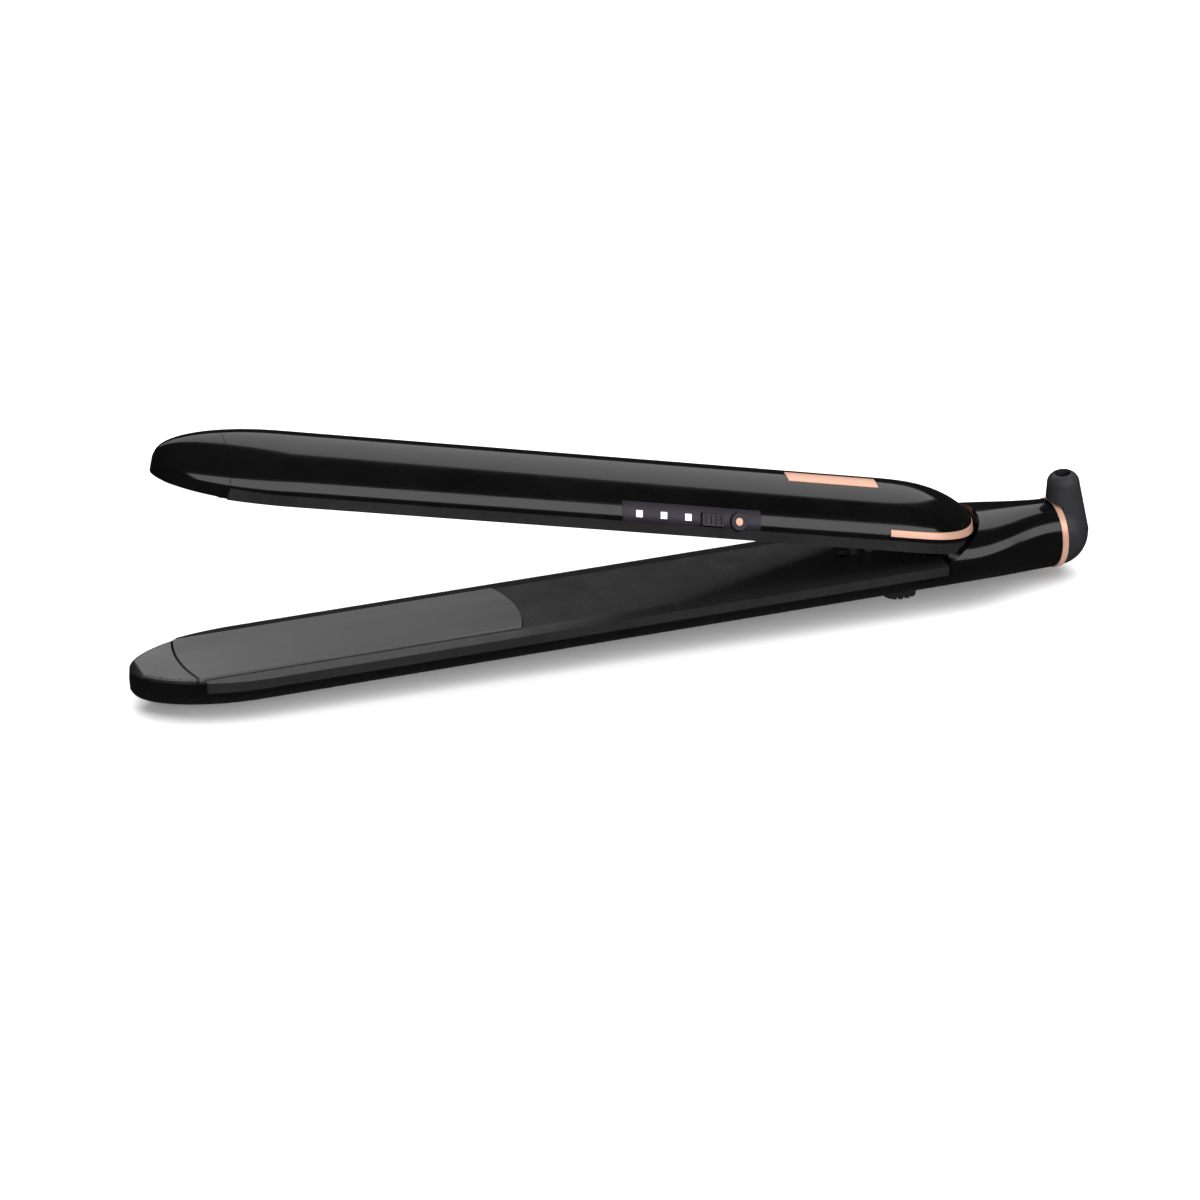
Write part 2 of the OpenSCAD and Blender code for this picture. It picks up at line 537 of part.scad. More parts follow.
// a band that follows the skin round the rear end
module trim_band(out, deep, grow = 0) intersection() {
    difference() {
        loft(rear_rings(out, rear_x - 0.1 + out));
        loft(rear_rings(-deep, rear_x - 0.1 - deep));
    }
    slab([trim_x - grow, -20, trim_z[0] - grow], [rear_x + 4, 20, trim_z[1] + grow]);
}
module upper_shell() color("black") on_upper() {
    difference() {
        loft([for (x = upper_xs) upper_ring(x, 0, undef)]);
        loft([for (x = concat([cap_x - 1], [for (x = upper_xs) if (x > cap_x + 1 && x < rear_x - 2.2) x],
                              [rear_x - 2.2])) upper_ring(x, wall, -2)]);
        trim_band(1, trim_deep + 0.04, 0.04);
        patch([panel_x[0] - 0.1, panel_x[1] + 0.1], panel_a[0] - 0.6, panel_a[1] + 0.9, 1, 3);
        // the opening for the panel is free down to the rim
        slab([panel_x[0] - 0.1, -half_w - 1, rim - 1], [panel_x[1] + 0.1, -half_w + 3, rim + 0.1]);
        patch([badge_x[0], badge_x[1]], badge_a[0] - 0.2, badge_a[1] + 0.2, 1, 0.7);
        key_rooms();
    }
    screw_bosses(upper_t);
}
module upper_inner_cover() color("dimgray") on_upper() difference() {
    union() {
        intersection() {
            cover_blank(cap_x + gap, rear_x, upper_face);
            linear_extrude(rim + 1)
                polygon(upper_plan(concat(tip_xs, rear_xs(rear_x - rear_round, rear_x - 0.1))));
        }
        slab([-8, -knuckle_w, -0.6], [0, knuckle_w, upper_face + sheet_t + 0.6]);
        along_y([0, knuckle_w, 0]) cylinder(h = 2*knuckle_w, r = knuckle_r);
    }
    along_y([0, 20, 0]) cylinder(h = 40, r = pin_r + 0.71);
    for (s = [-1, 1]) slab([-6, s*8.3 - 4.4, -6], [5, s*8.3 + 4.4, 6]);         // room for the ears
    slab([hook_x - 1.4 - lock_travel, -1.8, -1], [hook_x + 1.8, 1.8, rim]);     // the prong's slot
    translate([post_x - 0.1, 0, -1]) cylinder(h = rim, r = post_r + 0.7);      // the guide post's hole
    // room for the keys, their switches and the board
    key_rooms();
    slab([panel_x[0] + 1, -half_w + 1.2, 2.2], [panel_x[1] - 1, -face_w + 2, rim + 1]);
}

module upper_tip_cap() color("black") on_upper() tip_cap(upper_t, upper_face + edge_drop, 0);
module upper_tip_pad() color("dimgray") on_upper() tip_pad();
module upper_plate_tray() color("dimgray") on_upper() tray();
module upper_plate() color("gray") on_upper() plate();
module upper_heater() color("ivory") on_upper() heater();
module upper_thermistor() color("orange") on_upper() thermistor();
module upper_plate_springs() color("silver") on_upper() plate_springs();
module upper_tray_screws() color("silver") on_upper() tray_screws();
module upper_leads() color("white") on_upper() for (s = [-1, 1])
    wire([[plate_x1 - 2, 3*s, 5], [plate_x1 + 8, 3*s, 6.2], [-126, 2.4*s - 3, 6.5 + s],
          [-117, -6.8, 6.6 + 1.8*s], [-40, -6.8, 6.6 + 1.8*s], [-24, -6.4, 6.4 + 1.2*s],
          [-12, -6.2, 6 + 1.1*s]], 0.8, 8);
module rear_trim() color("#d99a80") on_upper() trim_band(0.2, trim_deep);
module top_badge() color("#d99a80") on_upper()
    patch([badge_x[0] + 0.1, badge_x[1] - 0.1], badge_a[0], badge_a[1], 0.2, 0.65);

// ---- controls ----
module at_panel(x) translate([x, panel_y, panel_z]) rotate([90 - panel_tilt, 0, 0]) children();
module on_panel(x) on_upper() at_panel(x) children();
module mode_shape(grow = 0) square([mode_w + 2*grow, mode_h + 2*grow], center = true);
// the holes in which the keys move, through the panel and everything behind it
module key_rooms() {
    room_d = button_back + button_travel + 0.1;
    at_panel(mode_x) translate([0, 0, -room_d]) linear_extrude(10) mode_shape(key_gap);
    at_panel(power_x) translate([0, 0, -room_d]) cylinder(h = 10, r = power_r + key_gap);
}
module control_panel() color("#141018") difference() {
    on_upper() patch(panel_x, panel_a[0], panel_a[1], 0.05, 1.4);
    for (x = led_x) on_panel(x) translate([0, 0.3, -5]) linear_extrude(10) square(led_s + 0.1, center = true);
    on_upper() key_rooms();
}
module indicator_lenses() color("white") for (x = led_x)
    on_panel(x) translate([0, 0.3, -2]) linear_extrude(2.3) square(led_s, center = true);
module power_button() color("#141018") on_panel(power_x) translate([0, 0, -button_back]) difference() {
    cylinder(h = button_back + button_up, r = power_r);
    translate([0, 0, button_back + button_up - 0.3]) cylinder(h = 1, r = mark_r + 0.02);
}
module power_button_mark() color("#d99a80") on_panel(power_x)
    translate([0, 0, button_up - 0.3]) cylinder(h = 0.35, r = mark_r);
module mode_button() color("#1c1820") on_panel(mode_x) difference() {
    translate([0, 0, -button_back]) linear_extrude(button_back + button_up) mode_shape();
    for (i = [-1.5:1.5]) translate([1.6*i, 0, button_up]) cube([0.6, mode_h - 0.8, 0.6], center = true);
}
module switch_board() color("darkgreen") on_panel((panel_x[0] + panel_x[1])/2)
    translate([0, 2.3, -board_d - 0.8]) linear_extrude(0.8) square([40, 5.4], center = true);
module tact_switches() color("gray") for (x = [mode_x, power_x]) on_panel(x) translate([0, 1.1, -board_d]) {
    linear_extrude(1.2) square([3.4, 3], center = true);
    cylinder(h = board_d - button_back - button_travel - 0.1, r = 0.7);
}
module main_pcb() color("darkgreen") on_upper() slab([-114, -4.5, 6.0], [-40, 10, 7.4]);
module pcb_components() color("#303030") on_upper() {
    slab([-104, 0, 7.4], [-96, 7, 9]);
    slab([-90, 1, 7.4], [-79, 5, 11]);
    translate([-68, 3.4, 7.4]) cylinder(h = 3.4, r = 3);
    slab([-58, -3, 7.4], [-50, 6, 10]);
    for (x = [-46:2.4:-41]) slab([x, 0, 7.4], [x + 1.4, 3, 8.2]);
}

lower_shell();
lower_inner_cover();
lower_tip_cap();
lower_tip_pad();
lower_plate_tray();
lower_plate();
lower_heater();
lower_thermistor();
lower_plate_springs();
lower_tray_screws();
lower_leads();
tail_cover();
tail_ring();
tail_screws();
hinge_bracket();
bracket_screws();
hinge_pin();
torsion_spring();
guide_post();
contact_brushes();
swivel_bush();
swivel_elbow();
swivel_circlip();
slip_rings();
lock_knob();
lock_hook();
upper_shell();
upper_inner_cover();
upper_tip_cap();
upper_tip_pad();
upper_plate_tray();
upper_plate();
upper_heater();
upper_thermistor();
upper_plate_springs();
upper_tray_screws();
upper_leads();
rear_trim();
top_badge();
control_panel();
indicator_lenses();
power_button();
power_button_mark();
mode_button();
switch_board();
tact_switches();
main_pcb();
pcb_components();
hinge_bush();
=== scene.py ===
"""A slim hair-straightening iron, open on a pale floor.

The glossy outer skins are lofted here with many more sections than the CAD has, on the CAD's own formulas.
Everything else is the CAD piece itself with a detailed procedural material.
Shapes are drawn in hinge coordinates, in millimetres: the hinge axis is Y at the origin, the plane on which
the plates meet is Z = 0, and an arm's outer side is +Z. to_lower, to_upper and to_row put them in the
row frame.
"""
import math

import bmesh
import bpy
from mathutils import Matrix, Vector


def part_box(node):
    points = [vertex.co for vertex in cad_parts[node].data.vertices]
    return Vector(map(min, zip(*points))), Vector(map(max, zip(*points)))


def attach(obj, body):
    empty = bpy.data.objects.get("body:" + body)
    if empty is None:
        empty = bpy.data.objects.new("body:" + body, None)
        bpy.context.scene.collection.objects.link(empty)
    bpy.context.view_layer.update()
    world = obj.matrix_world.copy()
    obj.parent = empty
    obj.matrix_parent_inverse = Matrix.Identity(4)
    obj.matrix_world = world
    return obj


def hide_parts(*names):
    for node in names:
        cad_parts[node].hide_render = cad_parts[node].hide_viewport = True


MM = 0.001

# the arms, as in the CAD
ARM_L = 244.5
HALF_W = 16.75
LOWER_T = 13.4
UPPER_T = 15.4
WALL = 1.8
RIM = 4.2
OPEN_DEG = 13.5
CROWN_N = 1.5
CAP_X = -ARM_L + 17.4
GAP = 0.15
TIP_ROUND = 36
TIP_N = 2
TIP_BLUNT = 0.25
PAD_FACE = 0.4
PAD_T = 1.4
PAD_IN = 2
PLATE_X0 = -ARM_L + 14.1
PLATE_W = 24.2
FRONT_R = 38
PLATE_ROOM = 4.4
LOWER_EDGE = 1.3
UPPER_EDGE = 0.95
LAND = 1.0
REAR_X = 6.8
REAR_ROUND = 22
REAR_FALL = 33
REAR_LOW = 0.7
REAR_N = 3
REAR_ROOM = 0.7
TRIM_X = REAR_X - REAR_FALL
TRIM_Z = (RIM + 1.1, RIM + 2.7)
TRIM_DEEP = 1.4
TAIL_R = 10
TAIL_L = 33.8
TAIL_DROP = 4.7
TAIL_FRONT_Z = 6.9
TAPER_X = 2.5
COVER_X = -5.5
CAVITY_X = (13, TAIL_L - 2.6)
WINDOW_X = (-9.5, 6.2)
BUSH_R = 7.0
PANEL_X = (-110.8, -67.8)
PANEL_DEG = (148.5, 178.6)
PANEL_TILT = 32
PANEL_Y = -16.0
PANEL_Z = 6.0
LED_X = (-105.8, -98.2, -90.6)
LED_S = 1.9
MODE_X = -83.1
MODE_SIZE = (6.6, 3.4)
POWER_X = -74.9
POWER_R = 2.4
KEY_GAP = 0.25
BADGE_X = (-56, -27)
BADGE_DEG = (87, 109)
KNOB_X = -13.2
LOCK_TRAVEL = 3
CLOSING_Z = 16.4

REACH = 1         # how far a cutter stands out of the skin it cuts
FIT = 0.1         # gap at the ends of a fitted piece
SEG = 72          # segments over a skin's section
ACROSS = 180      # stations along a skin


# ---- shape functions, the same as the CAD's ----
def clamp(t):
    return max(0.0, min(1.0, t))


def ease(t):
    u = clamp(t)
    return u * u * (3 - 2 * u)


def mix(a, b, t):
    return a + (b - a) * t


def dome(u, n):
    return (1 - clamp(u) ** n) ** (1 / n)


def tip_f(x):
    return dome(1 - (x + ARM_L) / TIP_ROUND, TIP_N)


def tip_h(x):
    return mix(TIP_BLUNT, 1, tip_f(x))


def upper_w(x):
    return max(0.5, HALF_W * tip_f(x) * dome((x - REAR_X + REAR_ROUND) / REAR_ROUND, 2.2))


def upper_h(x):
    fall = max(0, (x - REAR_X + REAR_FALL) / REAR_FALL)
    return (UPPER_T - RIM) * tip_h(x) * (1 - REAR_LOW * fall**REAR_N)


def tail_f(x):
    return ease((x - TAPER_X) / (TAIL_L - TAPER_X))


def lower_w(x):
    return max(0.5, mix(HALF_W, TAIL_R, tail_f(x)) * tip_f(x))


def lower_rim(x):
    return mix(RIM, TAIL_DROP, ease((x - 10) / 20))


def lower_h(x):
    return (mix(LOWER_T, TAIL_DROP + TAIL_R, tail_f(x)) - lower_rim(x)) * tip_h(x)


def tail_top(x):
    return lower_rim(x) + mix(TAIL_FRONT_Z, TAIL_R - TAIL_DROP, (x - REAR_X) / (TAIL_L - REAR_X))


def skin(deg, w, h, n, flat=0):
    """A point of a section: 0 degrees is the +Y rim, 90 the crown, 180 the -Y rim."""
    c = math.cos(math.radians(deg))
    s = abs(math.sin(math.radians(deg)))
    return math.copysign(w * abs(c) ** (2 / n), c), min(h, (h + flat) * s ** (2 / n))


def ring(x, w, h, n, rim, base, inset=0, flat=0):
    """A closed ring at x: over the crown from +Y to -Y, then back along z = base."""
    over = [skin(180 * i / SEG, w, h, n, flat) for i in range(SEG + 1)]
    pinch = max(0.3, w - inset) / w
    return [(x, y, rim + z) for y, z in over] + [(x, y * pinch, base) for y, z in reversed(over)]


def lower_ring(x, shrink, base=None):
    n = mix(CROWN_N, 2, tail_f(x))
    flat = mix(LAND, 0, tail_f(x))
    rim = lower_rim(x)
    return ring(x, lower_w(x) - shrink, lower_h(x) - shrink, n, rim, rim if base is None else base, 0, flat)


def upper_ring(x, shrink, base=RIM, at=None):
    """The upper skin's ring at x, with the section of another station where one is given."""
    station = x if at is None else at
    w = max(0.4, upper_w(station) - shrink)
    h = max(0.4, upper_h(station) - shrink)
    return ring(x, w, h, CROWN_N, RIM, base)


def tail_ring(x, shrink, base=None):
    rim = -lower_rim(x)
    return ring(x, lower_w(x) - shrink, tail_top(x) - shrink, 2, rim, rim if base is None else base)


def cap_ring(x, thickness, edge, flat):
    h = (thickness - RIM) * tip_h(x)
    return ring(x, max(0.5, HALF_W * tip_f(x)), h, CROWN_N, RIM, edge, 0.4, flat)


def spread(x0, x1, count, power=1.0):
    """count + 1 stations from x0 to x1, closer together at x0 when power is over 1."""
    return [mix(x0, x1, (i / count) ** power) for i in range(count + 1)]


def rear_xs(x0, x1, count=40):
    """Stations that gather towards the rounded rear end."""
    return [mix(x0, x1, math.sin(math.pi / 2 * i / count)) for i in range(count + 1)]


# ---- placing hinge coordinates in the row frame ----
def hinge_x():
    """The hinge axis's X in millimetres, read off the hinge pin."""
    low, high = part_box("hinge_pin")
    return (low.x + high.x) / 2 / MM


def to_row(p):
    return Vector((p[0] + HINGE_X, p[1], p[2] + CLOSING_Z)) * MM


def to_lower(p):
    return to_row((p[0], p[1], -p[2]))


def to_upper(p):
    a = math.radians(OPEN_DEG)
    x = p[0] * math.cos(a) + p[2] * math.sin(a)
    z = -p[0] * math.sin(a) + p[2] * math.cos(a)
    return to_row((x, p[1], z))


def on_panel(p):
    """Coordinates on the control panel (along, up its face, outwards) to the row frame."""
    t = math.radians(90 - PANEL_TILT)
    y = PANEL_Y + p[1] * math.cos(t) - p[2] * math.sin(t)
    z = PANEL_Z + p[1] * math.sin(t) + p[2] * math.cos(t)
    return to_upper((p[0], y, z))


# ---- meshes ----
def mesh_object(name, points, faces):
    mesh = bpy.data.meshes.new(name)
    mesh.from_pydata(points, [], faces)
    bm = bmesh.new()
    bm.from_mesh(mesh)
    bmesh.ops.recalc_face_normals(bm, faces=bm.faces)
    bm.to_mesh(mesh)
    bm.free()
    obj = bpy.data.objects.new(name, mesh)
    bpy.context.scene.collection.objects.link(obj)
    return obj


def loft(name, rings, place):
    """A closed solid through equal rings."""
    n = len(rings[0])
    points = [place(p) for r in rings for p in r]
    faces = [list(range(n)), list(range(len(points) - n, len(points)))]
    for i in range(len(rings) - 1):
        for j in range(n):
            k = (j + 1) % n
            faces.append([i * n + j, i * n + k, (i + 1) * n + k, (i + 1) * n + j])
    return mesh_object(name, points, faces)


def prism(outline, z0, z1, place):
    """A closed solid over a plan outline."""
    return loft("cutter", [[(x, y, z) for x, y in outline] for z in (z0, z1)], place)


def box_cutter(a, b, place):
    outline = [(a[0], a[1]), (b[0], a[1]), (b[0], b[1]), (a[0], b[1])]
    return prism(outline, a[2], b[2], place)


def circle(cx, cy, r, count=64):
    turn = 2 * math.pi / count
    return [(cx + r * math.cos(turn * i), cy + r * math.sin(turn * i)) for i in range(count)]


def carve(obj, cutters, operation="DIFFERENCE"):
    """Cuts the solids away from obj, applies that, and removes them."""
    for cutter in cutters:
        mod = obj.modifiers.new("cut", "BOOLEAN")
        mod.operation = operation
        mod.solver = "EXACT"
        mod.object = cutter
        graph = bpy.context.evaluated_depsgraph_get()
        mesh = bpy.data.meshes.new_from_object(obj.evaluated_get(graph))
        obj.modifiers.clear()
        obj.data = mesh
        bpy.data.objects.remove(cutter)
    return obj


def soften(obj, bevel=0.0, sharp_deg=32):
    """Smooth shading with kept edges, and a small bevel on them."""
    obj.data.polygons.foreach_set("use_smooth", [True] * len(obj.data.polygons))
    obj.data.set_sharp_from_angle(angle=math.radians(sharp_deg))
    if bevel:
        mod = obj.modifiers.new("edges", "BEVEL")
        mod.width = bevel * MM
        mod.segments = 2
        mod.limit_method = "ANGLE"
        mod.angle_limit = math.radians(sharp_deg + 8)
        mod.harden_normals = True
    return obj


def finish_piece(obj, name, node, body, material):
    obj.name = name
    obj.data.name = name
    obj.data.materials.clear()
    obj.data.materials.append(material)
    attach(obj, body)
    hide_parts(node)
    return obj


# ---- plan outlines ----
def upper_plan(xs, grow):
    return [(x, upper_w(x) + grow) for x in xs] + [(x, -upper_w(x) - grow) for x in reversed(xs)]


def plate_front(grow):
    """The plate's front half in plan, as far as the caps need it."""
    half = PLATE_W / 2 + grow
    centre = PLATE_X0 + FRONT_R
    reach = FRONT_R + grow
    top = math.asin(half / reach)
    arc = [top - 2 * top * i / 40 for i in range(41)]
    front = [(centre - reach * math.cos(a), reach * math.sin(a)) for a in arc]
    return [(CAP_X + 5, half)] + front + [(CAP_X + 5, -half)]


# ---- the skins ----
def patch(name, xs, deg0, deg1, out, deep, place, count=24):
    """A piece of the upper skin between two section angles and two depths."""
    rings = []
    for x in xs:
        w, h = upper_w(x), upper_h(x)
        degs = [mix(deg0, deg1, i / count) for i in range(count + 1)]
        outer = [skin(d, w + out, h + out, CROWN_N) for d in degs]
        inner = [skin(d, w - deep, h - deep, CROWN_N) for d in reversed(degs)]
        rings.append([(x, y, RIM + z) for y, z in outer + inner])
    return loft(name, rings, place)


def panel_cutter():
    xs = spread(PANEL_X[0] - FIT, PANEL_X[1] + FIT, 12)
    return patch("cutter", xs, PANEL_DEG[0] - 0.6, PANEL_DEG[1] + 0.9, REACH, 3, to_upper)


def strip_below_panel():
    """Frees the panel's opening down to the shell's rim."""
    corner = (PANEL_X[0] - FIT, -HALF_W - REACH, RIM - REACH)
    return box_cutter(corner, (PANEL_X[1] + FIT, -HALF_W + 3, RIM + FIT), to_upper)


def rear_loft(name, out, lead, x1):
    """The upper arm's rear end, grown by an offset, from a lead in front of the trim to x1."""
    last = REAR_X - 0.02
    xs = [x for x in rear_xs(TRIM_X - lead, last) if x < x1 - 0.3] + [x1]
    return loft(name, [upper_ring(x, -out, 0, min(x, last)) for x in xs], to_upper)


def trim_band(name, out, deep, grow=0.0):
    """A band that follows the skin round the rear end."""
    band = rear_loft(name, out, 1, REAR_X + out)
    inside = rear_loft("cutter", -deep, 2, REAR_X - deep)
    carve(band, [inside])
    keep = box_cutter((TRIM_X - grow, -20, TRIM_Z[0] - grow), (REAR_X + 4, 20, TRIM_Z[1] + grow), to_upper)
    return carve(band, [keep], "INTERSECT")


def make_upper_shell(material):
    xs = spread(CAP_X + GAP, REAR_X - REAR_FALL, ACROSS) + rear_xs(REAR_X - REAR_FALL, REAR_X - 0.02)[1:]
    obj = loft("upper_skin", [upper_ring(x, 0) for x in xs], to_upper)
    inner_xs = [CAP_X - 1] + [x for x in xs if CAP_X + 1 < x < REAR_X - 2.2] + [REAR_X - 2.2]
    inner = loft("cutter", [upper_ring(x, WALL, -2) for x in inner_xs], to_upper)
    badge = patch("cutter", spread(*BADGE_X, 20), BADGE_DEG[0] - 0.2, BADGE_DEG[1] + 0.2,
                  REACH, 0.7, to_upper)
    trim = trim_band("cutter", REACH, TRIM_DEEP + 0.04, 0.04)
    carve(obj, [inner, trim, panel_cutter(), strip_below_panel(), badge] + key_rooms())
    soften(obj, 0.12)
    return finish_piece(obj, "upper_outer_skin", "upper_shell", "upper_arm", material)


def make_lower_shell(material):
    xs = spread(CAP_X + GAP, TAPER_X, ACROSS) + spread(TAPER_X, TAIL_L, 50)[1:]
    obj = loft("lower_skin", [lower_ring(x, 0) for x in xs], to_lower)
    inner_xs = [CAP_X - 1] + [x for x in xs if CAP_X + 1 < x < CAVITY_X[1]] + [CAVITY_X[1]]
    inner = loft("cutter", [lower_ring(x, WALL, -2) for x in inner_xs], to_lower)
    slot_end = (KNOB_X - 2.2 - LOCK_TRAVEL, -2.3, LOWER_T - 4)
    slot = box_cutter(slot_end, (KNOB_X + 2.2, 2.3, LOWER_T + REACH), to_lower)
    carve(obj, [inner, slot, bush_seat()])
    soften(obj, 0.12)
    return finish_piece(obj, "lower_outer_skin", "lower_shell", "lower_arm", material)


def bush_seat():
    rings = [[(x, y, z - TAIL_DROP) for y, z in circle(0, 0, BUSH_R + 0.02)]
             for x in (CAVITY_X[1] - 1, TAIL_L + 3)]
    return loft("cutter", rings, to_row)


def make_tail_cover(material):
    obj = loft("tail_cover_skin", [tail_ring(x, 0) for x in spread(COVER_X, TAIL_L, 60)], to_row)
    hollow = loft("cutter", [tail_ring(x, WALL, -8) for x in spread(*CAVITY_X, 8)], to_row)
    plan = upper_plan(rear_xs(-40, REAR_X - 0.01), 1.0)
    plan_behind = [(x + REAR_ROOM, y) for x, y in plan]
    rooms = [prism(outline, -0.7, 29.3, place)
             for outline in (plan, plan_behind) for place in (to_row, to_upper)]
    window = box_cutter((WINDOW_X[0], -10.2, -8), (WINDOW_X[1], 10.2, 2), to_row)
    carve(obj, [hollow, window, bush_seat()] + rooms)
    soften(obj, 0.12)
    return finish_piece(obj, "tail_outer_cover", "tail_cover", "lower_arm", material)


def pad_outline(grow=0.0):
    """The tip pad in plan: the cap's outline drawn in, up to the plate's round front."""
    xs = spread(-ARM_L + PAD_IN + 0.5 - grow, CAP_X - GAP, 40, 1.6)
    half = [(x, HALF_W * tip_f(x) - PAD_IN + grow) for x in xs]
    half = [(x, y) for x, y in half if y > 0.3]
    return half + [(x, -y) for x, y in reversed(half)]


def make_tip_cap(name, node, body, thickness, edge, flat, place, material):
    xs = spread(-ARM_L + 0.02, CAP_X, 60, 1.8)
    obj = loft(name, [cap_ring(x, thickness, edge, flat) for x in xs], place)
    room = prism(plate_front(0.3), -REACH, PLATE_ROOM, place)
    pad_seat = prism(pad_outline(0.05), -REACH, PAD_FACE + PAD_T, place)
    carve(obj, [room, pad_seat])
    soften(obj, 0.3)
    return finish_piece(obj, name, node, body, material)


def make_tip_pad(name, node, body, place, material):
    obj = prism(pad_outline(), PAD_FACE, PAD_FACE + PAD_T - 0.05, place)
    carve(obj, [prism(plate_front(0.6), -REACH, PLATE_ROOM, place)])
    soften(obj, 0.3)
    return finish_piece(obj, name, node, body, material)


def make_trim(material):
    obj = trim_band("trim", 0.2, TRIM_DEEP)
    soften(obj, 0.2)
    return finish_piece(obj, "rear_trim_band", "rear_trim", "upper_arm", material)


def make_badge(material):
    xs = spread(BADGE_X[0] + 0.1, BADGE_X[1] - 0.1, 30)
    obj = patch("badge", xs, *BADGE_DEG, 0.2, 0.65, to_upper)
    soften(obj, 0.1)
    return finish_piece(obj, "crown_inlay", "top_badge", "upper_arm", material)


def key_rooms():
    mx, my = (s / 2 + KEY_GAP for s in MODE_SIZE)
    return [box_cutter((MODE_X - mx, -my, -2.5), (MODE_X + mx, my, 5), on_panel),
            prism(circle(POWER_X, 0, POWER_R + KEY_GAP), -2.5, 5, on_panel)]


def make_panel(material):
    obj = patch("panel", spread(*PANEL_X, 40), *PANEL_DEG, 0.05, 1.4, to_upper)
    cutters = []
    for x in LED_X:
        h = LED_S / 2 + 0.05
        cutters.append(box_cutter((x - h, 0.3 - h, -5), (x + h, 0.3 + h, 5), on_panel))
    carve(obj, cutters + key_rooms())
    soften(obj, 0.08)
    return finish_piece(obj, "key_panel", "control_panel", "upper_arm", material)


# ---- materials ----
class Nodes:
    """A small helper around one material's node tree."""

    def __init__(self, name):
        self.material = bpy.data.materials.new(name)
        self.material.use_nodes = True
        self.tree = self.material.node_tree
        self.shader = self.tree.nodes["Principled BSDF"]
        self.coords = self.tree.nodes.new("ShaderNodeTexCoord")

    def link(self, source, target):
        self.tree.links.new(source, target)

    def noise(self, scale, detail=4.0, stretch=(1, 1, 1), rough=0.5):
        place = self.tree.nodes.new("ShaderNodeMapping")
        place.inputs["Scale"].default_value = stretch
        self.link(self.coords.outputs["Object"], place.inputs["Vector"])
        node = self.tree.nodes.new("ShaderNodeTexNoise")
        node.inputs["Scale"].default_value = scale
        node.inputs["Detail"].default_value = detail
        node.inputs["Roughness"].default_value = rough
        self.link(place.outputs["Vector"], node.inputs["Vector"])
        return node.outputs["Fac"]

    def span(self, value, low, high, start=0.3, end=0.7):
        """value, stretched from start..end to low..high."""
        node = self.tree.nodes.new("ShaderNodeMapRange")
        node.inputs["From Min"].default_value = start
        node.inputs["From Max"].default_value = end
        node.inputs["To Min"].default_value = low
        node.inputs["To Max"].default_value = high
        self.link(value, node.inputs["Value"])
        return node.outputs["Result"]

    def blend(self, factor, a, b):
        node = self.tree.nodes.new("ShaderNodeMix")
        node.data_type = "RGBA"
        node.inputs["A"].default_value = (*a, 1)
        node.inputs["B"].default_value = (*b, 1)
        self.link(factor, node.inputs["Factor"])
        return node.outputs["Result"]

    def bump(self, height, strength, distance):
        node = self.tree.nodes.new("ShaderNodeBump")
        node.inputs["Strength"].default_value = strength
        node.inputs["Distance"].default_value = distance * MM
        self.link(height, node.inputs["Height"])
        self.link(node.outputs["Normal"], self.shader.inputs["Normal"])

    def set(self, **values):
        for key, value in values.items():
            self.shader.inputs[key.replace("_", " ")].default_value = value


def shade(color, factor):
    return tuple(min(1.0, c * factor) for c in color)


def surface(name, color, rough, vary=0.2, rough_vary=0.05, grain=900, grain_mm=0.01, stretch=(1, 1, 1),
            **values):
    """A moulded or metal surface: cloudy colour, smudged gloss and a fine grain."""
    m = Nodes(name)
    cloud = m.noise(60, 3, stretch)
    m.link(m.blend(m.span(cloud, 0, 1), shade(color, 1 - vary), shade(color, 1 + vary)),
           m.shader.inputs["Base Color"])
    smudge = m.noise(140, 6, stretch, 0.65)
    m.link(m.span(smudge, max(0.01, rough - rough_vary), rough + rough_vary), m.shader.inputs["Roughness"])
    m.bump(m.noise(grain, 3, stretch), 0.6, grain_mm)
    m.set(**values)
    return m.material


